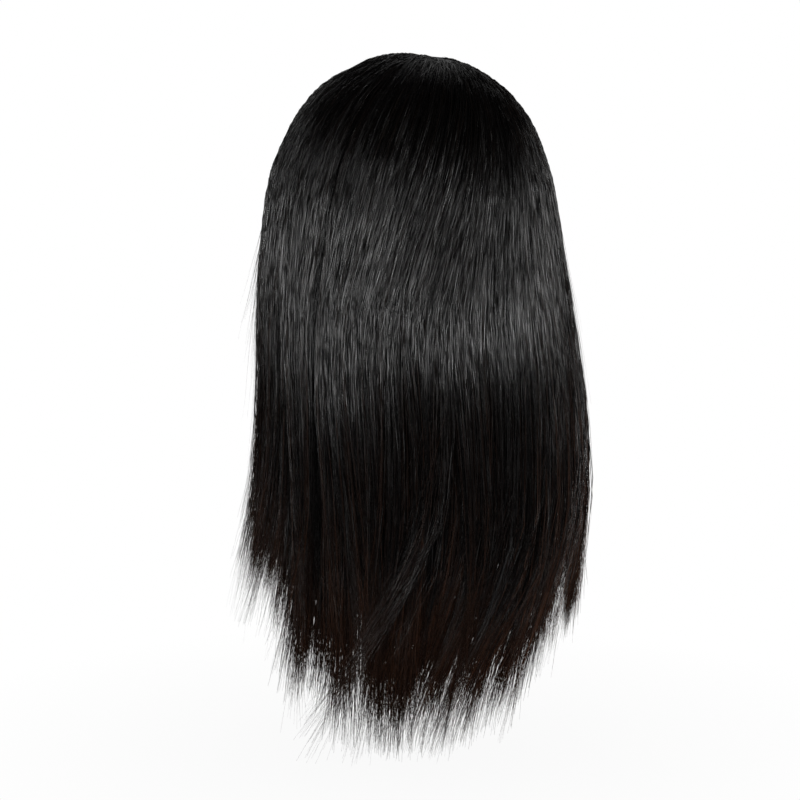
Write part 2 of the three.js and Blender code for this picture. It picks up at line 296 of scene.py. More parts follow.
def relief(azimuth, run):
    """How far the outer hair stands out from its form, in millimetres."""
    height = -furrow_pull(azimuth, run)[0]
    for turns, drift, phase, tall in zip(*WAVES.values()):
        height += tall * np.sin(np.radians(azimuth) * turns + run * drift + phase)
    for middle, level, wide, long, tall in zip(*SWELLS.values()):
        height += tall * np.exp(-(((azimuth - middle) / wide) ** 2) - ((run - level) / long) ** 2)
    return height * smooth(RELIEF_TOP, RELIEF_FULL, run)


print("relief at the back of the ring, mm:", relief(np.array([0.0]), np.array([1.0])).round(2))

# %% Centres of locks and wisps
LOCK_STEP, WISP_STEP = 9.0, 3.0  # degrees between the centres of locks and of wisps
UNEVEN = 0.4  # how far a centre may be off its place, as a share of the step


def centres(low, high, step, rng):
    """Centres spread unevenly between two azimuths."""
    middles = np.arange(low, high, step)
    return middles + rng.uniform(-UNEVEN, UNEVEN, len(middles)) * step


def nearest(values, middles):
    """The index of the centre that each value is nearest to."""
    return np.searchsorted((middles[1:] + middles[:-1]) / 2, values)


print("wisps in a lock:", LOCK_STEP / WISP_STEP)

# %% [markdown]
# ## Where strands start and end
#
# The closure's hair starts beside the parting and is knotted most closely there; the crown's hair
# fans out from a spot a little to the wearer's right, as it was combed over. Within a layer the
# strands of the top row end up outermost. Tips are cut over a fringe some centimetres deep, so that
# the hem thins out until light shows through it, and a few hairs in every hundred are strays that
# end early and stick out.

# %% Roots seen from above
# Places on the crown are shares of the dome: to the wearer's left, and back.
FRONT_AZIMUTH, PART_FRONT = 144.0, 0.87  # where hair ends beside the face, and the parting in front
PART_HALF = 0.005  # half the width of the parting
CROWN_ROOT_X, CROWN_FAN_X, CROWN_SPREAD_X = -0.24, 0.10, 0.05
CROWN_BACK_Y, CROWN_FRONT_Y = 0.03, -0.12
BLEND_SHARE = 0.06  # the stretch over which the closure's roots pass into the crown's


def root_places(azimuth, layer, rng):
    """Where strands start, seen from above: on the parting, or fanned out over the crown."""
    forward = (np.abs(azimuth) - 90) / (FRONT_AZIMUTH - 90)
    root_y = -PART_FRONT * np.clip(forward, 0, 1)
    if layer in WEFT_ROWS:
        return np.zeros_like(azimuth), root_y
    beside = np.sign(azimuth) * PART_HALF
    fanned = CROWN_ROOT_X + CROWN_FAN_X * np.sin(np.radians(azimuth))
    fanned = fanned + rng.normal(0, CROWN_SPREAD_X, len(azimuth))
    back = smooth(BLEND_SHARE, -BLEND_SHARE, forward)
    crown_y = rng.uniform(CROWN_FRONT_Y, CROWN_BACK_Y, len(azimuth))
    return beside + (fanned - beside) * back, root_y + crown_y * back


ends = root_places(np.array([-143.0, 143.0]), "closure", np.random.default_rng(1))[1]
print("front of the parting, share of the dome:", -ends.min().round(2))

# %% Tips at the hem
CUT_PAST_HEM, LOWEST_TIP_Z = 6.0, -362.0  # the longest hairs reach this far below the hem, and no lower
THIN_CHANCE, THIN_POWER, THIN_BESIDE = 0.55, 1.5, 0.75  # shares of the fringe that tips end up short
LOCK_CUT, WISP_CUT, LOW_CUT = 8.0, 7.0, 8.0  # millimetres by which locks, wisps and lowest tips differ
STRAY_SHARE, LOOSE_SHARE = 0.08, 0.14  # strays everywhere, and more of them where hair stands out
LOOSE_FROM, LOOSE_ALL = 3.0, 12.0  # millimetres of halo between which they become more
STRAY_FROM, STRAY_TO = 1.5, 3.3  # runs between which strays end


def strand_tips(hem, outer, longer, beside, lock, wisp, rng):
    """The run at which each strand ends, and which strands are strays."""
    count = len(beside)
    thinned = THIN_CHANCE * rng.random(count) ** THIN_POWER + THIN_BESIDE * beside
    tip_z = hem["z"] - longer - CUT_PAST_HEM + hem["fringe"] * thinned
    tip_z += lock(rng.normal, 0, LOCK_CUT) + wisp(rng.normal, 0, WISP_CUT)
    tip_z = np.maximum(tip_z, LOWEST_TIP_Z + rng.uniform(0, LOW_CUT, count))
    loose = smooth(LOOSE_FROM, LOOSE_ALL, hem["halo"])
    stray = rng.random(count) < STRAY_SHARE + LOOSE_SHARE * loose
    tip = 1 + (RING_Z - tip_z) / DROP_SCALE
    return np.where(stray & outer, rng.uniform(STRAY_FROM, STRAY_TO, count), tip), stray


print("longest tips at the hem, mm:", HEM["z"].min() - CUT_PAST_HEM)

# %% A plan for the strands of one layer
CROWDING, CLOSURE_CROWDING = 1.5, 3.5  # how closely roots crowd towards their first row
SHORTEST = 0.5  # least run from root to tip
TOP_ROW_SPREAD = 0.7  # strands of the last row lie at least this share of the layer's depth inside
INNER_SWEEP, INNER_SCATTER = 0.75, 0.3  # hair under the outer layer is held, so it strays less
LOCK_SWEEP, WISP_SWEEP = (-0.5, 0.3), (-0.25, 0.2)  # by which shares the sweep of tips differs
LOCK_SWAY, WISP_SWAY, CURL = 9.0, 5.0, 4.5  # millimetres that locks, wisps and tips stray sideways
LIFT, WAVE = 18.0, 1.5  # millimetres by which the start of the sweep differs, and of a wisp's slow wave
HALO_POWER = 4.0  # most hairs that aren't strays stand out hardly at all


def by_centre(middles, azimuth):
    """The nearest centre of each strand, and a function that draws one number for each centre."""
    index = nearest(azimuth, middles)
    return middles[index], lambda draw, *limits: draw(*limits, len(middles))[index]


def plan_strands(name, rng):
    """Each strand's root, tip, lock, wisp and place in its layer."""
    layer, _, low, high, first, last, longer, count = HAIR[name]
    outer = layer not in WEFT_ROWS
    azimuth = np.sort(rng.uniform(low, high, count))
    row = rng.random(count)
    locks, wisps = (centres(low, high, step, rng) for step in (LOCK_STEP, WISP_STEP))
    (lock_at, lock), (wisp_at, wisp) = by_centre(locks, azimuth), by_centre(wisps, azimuth)
    hem = {column: read(HEM, "azimuth", column, azimuth) for column in HEM}
    beside = np.clip(np.abs(wisp_at - azimuth) / WISP_STEP, 0, 1)
    tip, stray = strand_tips(hem, outer, longer, beside, lock, wisp, rng)
    root = first + (last - first) * row ** (CLOSURE_CROWDING if layer == "closure" else CROWDING)
    root_x, root_y = root_places(azimuth, layer, rng)
    swept, scatter = (1.0, 1.0) if outer else (INNER_SWEEP, INNER_SCATTER)
    strands = dict(
        azimuth=azimuth, root=root, tip=np.maximum(tip, root + SHORTEST), stray=stray,
        root_x=root_x, root_y=root_y, to_wisp=wisp_at - azimuth, to_lock=lock_at - azimuth,
        level=1 - row * rng.uniform(TOP_ROW_SPREAD, 1.0, count), wisp_level=wisp(rng.random),
        sweep=hem["sweep"] * swept * (1 + scatter * lock(rng.uniform, *LOCK_SWEEP))
        * (1 + scatter * wisp(rng.uniform, *WISP_SWEEP)),
        sway=scatter * (lock(rng.normal, 0, LOCK_SWAY) + wisp(rng.normal, 0, WISP_SWAY)),
        curl=rng.normal(0, CURL, count),
        lift=wisp(rng.normal, 0, LIFT),
        wave=wisp(rng.uniform, 0, WAVE),
        phase=wisp(rng.uniform, 0, 2 * np.pi),
        mood=lock(rng.random) + wisp(rng.random), brown=hem["brown"], slant=hem["slant"],
        stick_out=hem["halo"] * rng.random(count) ** np.where(stray, 1.0, HALO_POWER),
    )
    return {key: values[:, None] for key, values in strands.items()}


sample = plan_strands("nape_weft_hair", np.random.default_rng(1))
print("nape strands end between runs of", sample["tip"].min().round(2), sample["tip"].max().round(2))

# %% [markdown]
# ## Growing the strands
#
# Each strand leaves the cap flat, rises to its own depth and hangs. On the way it slants, drifts
# towards its wisp and its lock, and near the tips it is swept aside. Everything is array arithmetic:
# rows are strands and columns are stations along them. Fourteen thousand strands in a Python loop
# would take far longer.

# %% Stations along strands
# For each layer: how many steps a strand takes on the dome, and how many below it.
STEPS = {"crown": (6, 7), "closure": (5, 6), "under": (2, 7), "low": (2, 7), "nape": (2, 7)}
BEND_FROM, BEND_TO, BEND_PAST_ROOT = 0.95, 1.15, 0.05  # runs between which strands bend from dome to drop
DOME_POWER, DROP_POWER = (0.85, 1.2), (0.8, 1.1)  # how unevenly steps are spread over a strand


def strand_runs(root, tip, layer, rng):
    """Stations along each strand. They differ from strand to strand, so that no facets line up."""
    dome_steps, drop_steps = STEPS[layer]
    bend = np.maximum(rng.uniform(BEND_FROM, BEND_TO, root.shape), root + BEND_PAST_ROOT)
    dome = np.linspace(0, 1, dome_steps + 1)[:-1] ** rng.uniform(*DOME_POWER, root.shape)
    drop = np.linspace(0, 1, drop_steps + 1) ** rng.uniform(*DROP_POWER, root.shape)
    return np.hstack([root + (bend - root) * dome, bend + (tip - bend) * drop])


print("stations of a crown strand:", sum(STEPS["crown"]) + 1)

# %% The way of strands round the head
SLANT_TOP, SLANT_LOW = 0.2, 1.65  # the runs between which hair swings round to hang straight
OUTER_DRIFT, INNER_DRIFT = (0.7, 0.35), (0.2, 0.08)  # shares of the way to its wisp and lock at a tip
WANDER, WANDER_TURN = 0.6, (1.5, 4.0)  # degrees that strands stray, and radians of it in a run


def slanted(strands, run):
    """The azimuth of strands on their slanting way down."""
    return strands["azimuth"] - strands["slant"] * (1 - smooth(SLANT_TOP, SLANT_LOW, run))


def strand_path(strands, layer, run, fall, rng):
    """The azimuth at every station."""
    each = strands["root"].shape
    to_wisp, to_lock = INNER_DRIFT if layer in WEFT_ROWS else OUTER_DRIFT
    path = slanted(strands, run) + strands["to_wisp"] * to_wisp * fall**3
    path = path + strands["to_lock"] * to_lock * fall**3
    path = path + rng.normal(0, WANDER, each) * np.sin(run * rng.uniform(*WANDER_TURN, each))
    return path if layer in WEFT_ROWS else path + furrow_pull(path, run)[1]


print("degrees that the hair slants at the back:", read(HEM, "azimuth", "slant", 0.0))

# %% The depth of strands in their layer
# For each layer: the share of its depth that a strand has at its root, and the run to all of it.
ROOT_LIFT = {"crown": (0.85, 0.14), "closure": (0.3, 0.1)}
WEFT_LIFT, BEFORE_ROOT = (0.0, 0.14), 0.02
WISP_LEVEL = 0.3  # how far strands take on the depth of their wisp by the tip
TIP_LEVEL = 0.5  # how far they draw together to the middle of their layer by the tip
CLOSURE_LEVEL, CLOSURE_SETTLE = 0.4, 0.6  # share of its own depth at a closure root, and the run to all
FRONT_FLAT, FRONT_FADE = 0.55, 18.0  # hair lies flatter over these last degrees before the face
FRONT_TOP, FRONT_LOW = 0.6, 1.2  # down to these runs


def strand_depth(strands, layer, under, run, path, fall):
    """The depth at every station."""
    flat, rise = ROOT_LIFT.get(layer, WEFT_LIFT)
    root = strands["root"]
    emerge = flat + (1 - flat) * smooth(root - BEFORE_ROOT, root + rise, run)
    level = strands["level"] + (strands["wisp_level"] - strands["level"]) * WISP_LEVEL * fall
    level = 0.5 + (level - 0.5) * (1 - TIP_LEVEL * fall**3)
    if layer == "closure":
        settled = CLOSURE_LEVEL + (1 - CLOSURE_LEVEL) * smooth(0, CLOSURE_SETTLE, run - root)
        level = 1 - (1 - level) * settled
        fronted = smooth(FRONT_AZIMUTH - FRONT_FADE, FRONT_AZIMUTH, np.abs(path))
        emerge = emerge * (1 - FRONT_FLAT * fronted * smooth(FRONT_LOW, FRONT_TOP, run))
    inner, outer = face_depth(under, run), face_depth(layer, run)
    return (inner + (outer - inner) * level) * emerge


print("layers with lifted roots:", ", ".join(ROOT_LIFT))

# %% The line of every strand
SWEEP_TOP_Z, SWEEP_LOW_Z, SWEEP_POWER = -225.0, -350.0, 1.2  # levels between which tips are swept aside
SWAY_POWER, CURL_POWER = 3, 8  # how late locks sway, and tips curl
RIPPLE, RIPPLE_TURN = (0.1, 0.4), (6.0, 14.0)  # millimetres that strands ripple, and radians in a run
RIPPLE_TOP, RIPPLE_FULL = 0.2, 0.8  # runs between which ripples fade in
STRAY_POWER, LOOSE_POWER = 1.3, 2.0  # how late strays and other loose hairs stand out
WAVE_TURN = 4.5  # radians of a wisp's slow wave in a run
WAVE_TOP, WAVE_FULL, WAVE_LOW, WAVE_HALF = 1.2, 2.0, 2.1, 2.7  # it fades in, and then down to a half


def strand_proud(strands, run, path, depth, fall, rng):
    """How far every station stands out from the form, in millimetres."""
    each = strands["root"].shape
    ripple = rng.uniform(*RIPPLE, each) * np.sin(run * rng.uniform(*RIPPLE_TURN, each))
    late = np.where(strands["stray"], STRAY_POWER, LOOSE_POWER)
    proud = relief(path, run) * depth + ripple * smooth(RIPPLE_TOP, RIPPLE_FULL, run)
    proud = proud + strands["stick_out"] * fall**late
    wavy = smooth(WAVE_TOP, WAVE_FULL, run) * (0.5 + 0.5 * smooth(WAVE_HALF, WAVE_LOW, run))
    return proud + strands["wave"] * np.sin(run * WAVE_TURN + strands["phase"]) * wavy


def grow(name, strands, rng):
    """Points along every strand, in millimetres."""
    layer, under = HAIR[name][:2]
    run = strand_runs(strands["root"], strands["tip"], layer, rng)
    fall = np.clip((run - 1) / (strands["tip"] - 1), 0, 1)
    path = strand_path(strands, layer, run, fall, rng)
    depth = strand_depth(strands, layer, under, run, path, fall)
    points = hair_point(path, run, depth, strands["root_x"], strands["root_y"])
    swept = smooth(SWEEP_TOP_Z + strands["lift"], SWEEP_LOW_Z, points[..., 2])
    points[..., 0] += strands["sweep"] * swept**SWEEP_POWER
    aside = strands["sway"] * fall**SWAY_POWER + strands["curl"] * fall**CURL_POWER
    points += outward(path + 90) * aside[..., None]
    proud = strand_proud(strands, run, path, depth, fall, rng)
    return points + outward(path) * proud[..., None]


sample = grow("nape_weft_hair", sample, np.random.default_rng(1))
print("lowest nape tip, mm:", sample[..., 2].min().round(1))

# %% [markdown]
# ## From lines to tubes
#
# Each line becomes a closed tube of three sides, the fewest that can be round. Smooth shading makes
# its normals turn all the way round it, so light glints along it as along a real hair. The ring's
# two directions come from the line's tangent and the dome's own normal, which never line up.

# %% Rings and faces of tubes
SIDES = 3
DOME_RADII = np.array([80.0, 104.0, 86.0])  # across, along and up, in millimetres


def unit(vectors):
    """Vectors at length one."""
    return vectors / np.maximum(np.linalg.norm(vectors, axis=-1, keepdims=True), 1e-9)


def tube_rings(points, radius, turn, sides):
    """The corner points of every tube: strands, stations, sides, xyz."""
    tangent = unit(np.gradient(points, axis=1))
    above = points - [0, 0, RING_Z]
    above[..., 2] = np.maximum(above[..., 2], 0)
    across = unit(np.cross(tangent, unit(above / DOME_RADII**2)))
    proud = np.cross(across, tangent)
    angle = turn[:, None] + np.arange(sides) * 2 * np.pi / sides
    ring = np.cos(angle)[:, None, :, None] * across[:, :, None]
    ring = ring + np.sin(angle)[:, None, :, None] * proud[:, :, None]
    return points[:, :, None] + ring * radius[:, :, None, None]


def tube_faces(strands, stations, sides):
    """Quads along every tube and one face at each end, as vertex numbers."""
    start = np.arange(strands)[:, None, None] * stations * sides
    along = np.arange(stations - 1)[None, :, None] * sides
    side = np.arange(sides)
    a, b = start + along + side, start + along + (side + 1) % sides
    quads = np.stack([a, b, b + sides, a + sides], -1).reshape(-1, 4)
    first = start[:, 0] + side[::-1]
    return quads, np.vstack([first, start[:, 0] + (stations - 1) * sides + side])


quads, ends = tube_faces(1, sum(STEPS["crown"]) + 1, SIDES)
print("faces of a crown strand:", len(quads), "along it and", len(ends), "ends")

# %% Tubes as one mesh


def new_object(name, vertices, faces, flat=False):
    """A mesh object from points in millimetres."""
    mesh = bpy.data.meshes.new(name)
    mesh.from_pydata((np.asarray(vertices) * MM).tolist(), [], faces)
    if not flat:
        mesh.shade_smooth()
    made = bpy.data.objects.new(name, mesh)
    bpy.context.collection.objects.link(made)
    return made


def tubes(name, points, radius, turn, sides=SIDES):
    """A mesh object of closed tubes along many lines."""
    quads, ends = tube_faces(*radius.shape, sides)
    rings = tube_rings(points, radius, turn, sides)
    return new_object(name, rings.reshape(-1, 3), quads.tolist() + ends.tolist())


print("triangles in a crown strand:", sum(STEPS["crown"]) * SIDES * 2 + 2)

# %% [markdown]
# ## What each strand tells its material
#
# A material can read numbers that are stored on the mesh. Each strand carries its tone, one of a
# few, and each point carries its share of the way from root to tip. The bake map has a column for
# every tone with the root at its foot, so that strands of one tone share a column and a small
# texture is enough for thousands of strands. A place of its own for every strand would need a huge one.

# %% Tones, shares and the bake map
TONES = 32
COLUMN_SIDE, COLUMN_WIDTH = 0.1, 0.8  # where tubes lie in a column, as shares of its width
END_CORNERS = np.array([[0.3, 0.0], [0.7, 0.0], [0.5, 0.004]])  # the small place of a tube's end
ROOT_END, TIP_ABOVE_ROOT = 0.001, 0.99  # heights of the ends' places


def strand_shares(points):
    """The share of its strand's length at every station."""
    length = np.linalg.norm(np.diff(points, axis=1), axis=2).cumsum(1)
    return np.hstack([np.zeros((len(points), 1)), length / length[:, -1:]])


def bake_places(tone, share):
    """A place in the bake map for each face corner, quads first and then the ends."""
    left = (tone[:, None, None] + COLUMN_SIDE + COLUMN_WIDTH * np.arange(SIDES) / SIDES) / TONES
    low = np.repeat(share[:, :-1, None], SIDES, 2)
    high = np.repeat(share[:, 1:, None], SIDES, 2)
    left = np.broadcast_to(left, low.shape)
    right = left + COLUMN_WIDTH / SIDES / TONES
    quads = np.stack([left, low, right, low, right, high, left, high], -1).reshape(-1, 2)
    corner = END_CORNERS / [TONES, 1]
    foot = np.stack([tone / TONES, np.full(len(tone), ROOT_END)], -1)
    ends = [foot[:, None] + corner, foot[:, None] + [0, TIP_ABOVE_ROOT] + corner]
    return np.vstack([quads, *(end.reshape(-1, 2) for end in ends)])


def tell_material(made, tone, share):
    """Stores tones, shares and bake places on a mesh of tubes."""
    numbers = {"tone": np.repeat((tone + 0.5)[:, None] / TONES, share.shape[1], 1), "share": share}
    for key, values in numbers.items():
        stored = made.data.attributes.new(key, "FLOAT", "POINT")
        stored.data.foreach_set("value", np.repeat(values, SIDES, 1).ravel())
    baked = made.data.uv_layers.new(name="OFBake")
    baked.data.foreach_set("uv", bake_places(tone, share).ravel())


print("bake columns:", TONES)

# %% [markdown]
# ## Hair as a material
#
# The wig is human hair, straightened and dyed off-black. Each hair is a clear shingled cuticle over
# a dark core: light glances off the cuticle without taking the core's colour, and the core is so
# dark that nearly all we see is that glance. Keratin's refractive index is 1.55. Healthy hair has a
# roughness near 0.3; here it goes from 0.18 to 0.36 along a strand, which breaks the gloss into
# glints, and is 0.2 more where a strand is dry. Blender's hair shader is made for hair curves and
# these are meshes, so the Principled shader is used. Each strand has a tone, so that neighbours tell
# apart. The highest tones are brown, where the dye has faded. The lowest halves the gloss of hair
# that lies deep in a furrow, as painted shade.

# %% Helpers for materials


def linear(code):
    """A colour given as sRGB hex, in the linear values that shaders use."""
    parts = [int(code[i:i + 2], 16) / 255 for i in (1, 3, 5)]
    return [c / 12.92 if c <= 0.04045 else ((c + 0.055) / 1.055) ** 2.4 for c in parts] + [1.0]


def node(tree, kind, inputs=None, **settings):
    """Adds a node with its settings, and links or sets the inputs named or numbered."""
    made = tree.nodes.new(kind)
    for key, value in settings.items():
        setattr(made, key, value)
    for key, value in (inputs or {}).items():
        if isinstance(value, bpy.types.NodeSocket):
            tree.links.new(value, made.inputs[key])
        else:
            made.inputs[key].default_value = value
    return made


def new_material(name):
    """A material with an empty tree, and its tree."""
    made = bpy.data.materials.new(name)
    made.use_nodes = True
    made.node_tree.nodes.clear()
    return made, made.node_tree


def ramp(tree, factor, stops):
    """A colour that runs through sRGB stops."""
    made = node(tree, "ShaderNodeValToRGB", {"Fac": factor})
    while len(made.color_ramp.elements) < len(stops):
        made.color_ramp.elements.new(0.5)
    for element, (place, code) in zip(made.color_ramp.elements, stops):
        element.position, element.color = place, linear(code)
    return made.outputs["Color"]


print("off-black in linear values:", [round(value, 4) for value in linear("#050404")])

# %% Off-black straightened hair: colour
# To the eye: black that turns to a warm brown in a few strands, mostly towards the tips.
FADED_POWER = 6.0  # how few of the tones are brown

hair_material, tree = new_material("off_black_straightened_hair")
tone = node(tree, "ShaderNodeAttribute", attribute_name="tone").outputs["Fac"]
share = node(tree, "ShaderNodeAttribute", attribute_name="share").outputs["Fac"]
black = ramp(tree, share, [(0.0, "#050404"), (0.5, "#050404"), (0.8, "#070505"), (1.0, "#24160f")])
brown = ramp(tree, share, [(0.0, "#17120f"), (0.5, "#30251f"), (0.75, "#523a2f"), (1.0, "#85583f")])
faded = node(tree, "ShaderNodeMath", {0: tone, 1: FADED_POWER}, operation="POWER")
mixed = node(tree, "ShaderNodeMix", {0: faded.outputs[0], 6: black, 7: brown}, data_type="RGBA")
print("hair colour:", len(tree.nodes), "nodes")

# %% Off-black straightened hair: gloss
# To the eye: silky, with short bright glints along a strand and duller stretches between them.
STRAND_LENGTH, GLINT_LENGTH, DRY_LENGTH = 364.0, 13.0, 65.0  # millimetres
TONE_APART, DRY_APART = 97.0, 0.7  # spread of the tones over the noise, and a share of it for dry hair
DRY_ROUGHNESS, DRY_GLOSS, SHADED_GLOSS = 0.2, 0.3, 0.5

glint_scale = (TONE_APART, STRAND_LENGTH / GLINT_LENGTH, 0)
dry_scale = (DRY_APART, GLINT_LENGTH / DRY_LENGTH, 0)
spot = node(tree, "ShaderNodeCombineXYZ", {"X": tone, "Y": share})
spot = node(tree, "ShaderNodeVectorMath", {0: spot.outputs[0], 1: glint_scale}, operation="MULTIPLY")
glint = node(tree, "ShaderNodeTexNoise", {"Vector": spot.outputs[0], "Scale": 1.0, "Detail": 1.0})
rough = node(tree, "ShaderNodeMapRange", {
    "Value": glint.outputs["Fac"], "From Min": 0.35, "From Max": 0.65, "To Min": 0.18, "To Max": 0.36,
})
gloss = node(tree, "ShaderNodeMapRange", {
    "Value": glint.outputs["Fac"], "From Min": 0.35, "From Max": 0.6, "To Min": 1.0, "To Max": 0.08,
})
spot = node(tree, "ShaderNodeVectorMath", {0: spot.outputs[0], 1: dry_scale}, operation="MULTIPLY")
dry = node(tree, "ShaderNodeTexNoise", {"Vector": spot.outputs[0], "Scale": 1.0, "Detail": 1.0})
dry = node(tree, "ShaderNodeMapRange", {"Value": dry.outputs["Fac"], "From Min": 0.58, "From Max": 0.66})
rough = node(tree, "ShaderNodeMath", {
    0: dry.outputs[0], 1: DRY_ROUGHNESS, 2: rough.outputs[0],
}, operation="MULTIPLY_ADD")
gloss = node(tree, "ShaderNodeMath", {
    0: dry.outputs[0], 1: DRY_GLOSS, 2: gloss.outputs[0],
}, operation="MULTIPLY_ADD")
# painted shade: tone 0, hair deep in a furrow, gets half the gloss
shaded = node(tree, "ShaderNodeMapRange", {
    "Value": tone, "From Min": 0.6 / TONES, "From Max": 1.4 / TONES, "To Min": SHADED_GLOSS,
})
gloss = node(tree, "ShaderNodeMath", {0: gloss.outputs[0], 1: shaded.outputs[0]}, operation="MULTIPLY")
shader = node(tree, "ShaderNodeBsdfPrincipled", {
    "Base Color": mixed.outputs[2], "Roughness": rough.outputs[0], "IOR": 1.55,
    "Specular IOR Level": gloss.outputs[0],
})
node(tree, "ShaderNodeOutputMaterial", {"Surface": shader.outputs["BSDF"]})
print("hair material:", len(tree.nodes), "nodes")

# %% [markdown]
# ## The hair itself
#
# Each layer is grown, turned into tubes and put in place of its solid. A strand is 0.4 to 0.7 mm wide
# at its middle, about the look of a few hairs together: single hairs of 0.08 mm would be a seventh
# of a pixel and vanish. The crown has the finest strands, because it is what we see. Strays are
# thinner still, because they are single hairs.

# %% The width of strands
STRAND_RADIUS = {"crown": 0.21, "closure": 0.27}  # millimetres, as are the next two
INNER_RADIUS, STRAY_RADIUS = 0.33, 0.10
RADIUS_SPREAD = (0.75, 1.15)  # shares of it that strands have
ROOT_THIN, ROOT_SHARE = 0.2, 0.1  # how much thinner a root is, and over which share of the strand
TIP_THIN, TAPER_FROM = 0.85, 0.65  # how much thinner a tip is, and where the taper starts


def strand_radii(layer, share, stray, rng):
    """Thin at the root, full along the middle, and tapered to a point over the last third."""
    full = STRAND_RADIUS.get(layer, INNER_RADIUS)
    full = np.where(stray, STRAY_RADIUS, full) * rng.uniform(*RADIUS_SPREAD, stray.shape)
    rooted = 1 - ROOT_THIN + ROOT_THIN * smooth(0, ROOT_SHARE, share)
    return full * rooted * (1 - TIP_THIN * smooth(TAPER_FROM, 1, share))


print("width of an inner strand, mm:", 2 * INNER_RADIUS)

# %% Layers of hair from the nape up
HANDFUL = 1.8  # neighbouring strands that share a tone, on average
TONE_BROWN, TONE_MOOD, TONE_CHANCE = 0.22, 0.04, 0.76  # what brownness, mood and chance add to a tone
HIGHEST_TONE = 0.999  # just short of 1, so that no tone falls past the last column
SHADED_DEPTH = 1.9  # millimetres deep in a furrow from which hair is in its shade


def triangles(made):
    """How many triangles a mesh object has."""
    return sum(len(face.vertices) - 2 for face in made.data.polygons)


def place(made, slot, material, *nodes):
    """Gives a piece its material and body, and hides the solids it stands for. The slot is not used."""
    made.data.materials.append(material)
    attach(made, "root")
    if nodes:
        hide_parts(*nodes)
    print(made.name, triangles(made), "triangles")
    return made


def make_hair(name, seed):
    """One layer of hair, standing for its solid."""
    rng = np.random.default_rng(seed)
    strands = plan_strands(name, rng)
    points = grow(name, strands, rng)
    share = strand_shares(points)
    handful = np.cumsum(rng.random(len(points)) < 1 / HANDFUL)
    tone = TONE_BROWN * strands["brown"][:, 0] + TONE_MOOD * strands["mood"][:, 0]
    tone = tone + TONE_CHANCE * rng.random(len(points))[handful]
    tone = (np.clip(tone, 1 / TONES, HIGHEST_TONE) * TONES).astype(int)
    # painted shade: strands deep in a furrow get tone 0, whose gloss the material halves
    run = np.full(len(points), FURROW_RUN)
    sunk = furrow_pull(slanted(strands, FURROW_RUN)[:, 0], run)[0]
    tone[sunk > SHADED_DEPTH] = 0
    radius = strand_radii(HAIR[name][0], share, strands["stray"], rng)
    made = tubes(name + "_strands", points, radius, rng.uniform(0, 2 * np.pi, len(points)))
    tell_material(made, tone, share)
    return place(made, "hair", hair_material, name)


for seed, name in enumerate(HAIR, start=100):
    make_hair(name, seed)

# %% [markdown]
# ## The cap
#
# The cap is a stretch net, shaped to the head, that the wefts are sewn to. Hair hides its outside,
# so it shows only from below and through the face opening. It could be cut from a sphere, but the
# head's own skin gives the shape that it is worn in: two walls 1.2 mm apart, joined round the edge.
# The edge dips at the nape, rises over the ears and runs across the forehead, with rounded corners.
# A Boolean modifier then cuts the closure's outline out, as a maker cuts the net away behind lace.

# %% Edge of the cap
CAP_WALL = 1.2  # millimetres
CAP_RIDGE_FRONT = 0.86  # how far forward the line along the top of the cap goes, as a share of the dome
CAP_EDGE = table("azimuth run", [
    (0, 2.1), (30, 2.06), (50, 1.9), (65, 1.6), (80, 1.16), (92, 1.03), (106, 1.06),
    (118, 1.22), (130, 1.18), (140, 1.0), (150, 0.8), (160, 0.62), (170, 0.45), (180, 0.23),
])
EDGE_ROUNDING = np.array([-6.0, -3.0, 0.0, 3.0, 6.0])  # degrees over which its corners are rounded
ROUNDED_TO = 140.0  # in front of this azimuth the edge is the lace's and stays as it is


def edge_run(azimuth):
    """The run at which the cap ends, averaged over neighbouring azimuths."""
    beside = np.abs(azimuth)[..., None]
    beside = np.abs(beside + EDGE_ROUNDING * (beside < ROUNDED_TO))
    return read(CAP_EDGE, "azimuth", "run", beside).mean(-1)


def cap_point(azimuth, run, offset):
    """A point on the cap; an offset of 0 is its inside."""
    root_y = -CAP_RIDGE_FRONT * np.clip((np.abs(azimuth) - 90) / 90, 0, 1)
    return skin_point(HEAD, azimuth, run, 0.0, root_y, offset)


print("run of the cap's edge at the nape:", edge_run(np.array([0.0])).round(2))

# %% Net shell
CAP_STEP, CAP_ROWS = 4, 30  # degrees between the shell's columns, and points in a column
NET_GIRTH, NET_DROP = 1.5, 110.0  # millimetres of net in a degree round and in a run of 1 down


def weld(made, near=1e-6):
    """Joins vertices that coincide and turns the faces outwards."""
    shape = bmesh.new()
    shape.from_mesh(made.data)
    bmesh.ops.remove_doubles(shape, verts=shape.verts, dist=near)
    bmesh.ops.recalc_face_normals(shape, faces=shape.faces)
    shape.to_mesh(made.data)
    shape.free()
    return made


columns = np.arange(-180.0, 181, CAP_STEP)
azimuth, share = np.meshgrid(columns, np.linspace(0, 1, CAP_ROWS), indexing="ij")
run = share * edge_run(azimuth)
walls = np.stack([cap_point(azimuth, run, CAP_WALL), cap_point(azimuth, run, 0.0)])
net_place = np.stack([azimuth * NET_GIRTH, run * NET_DROP], -1)
number = np.arange(run.size * 2).reshape(2, *run.shape)
quads = np.stack([number[:, :-1, :-1], number[:, 1:, :-1], number[:, 1:, 1:], number[:, :-1, 1:]], -1)
rim = np.stack([number[0, :-1, -1], number[0, 1:, -1], number[1, 1:, -1], number[1, :-1, -1]], -1)
faces = np.vstack([quads.reshape(-1, 4), rim])
cap = new_object("net_cap", walls.reshape(-1, 3), faces.tolist())
net_map = cap.data.uv_layers.new(name="net_mm")
net_map.data.foreach_set("uv", np.tile(net_place.reshape(-1, 2), (2, 1))[faces.ravel()].ravel())
weld(cap)
print("cap:", len(cap.data.vertices), "points")

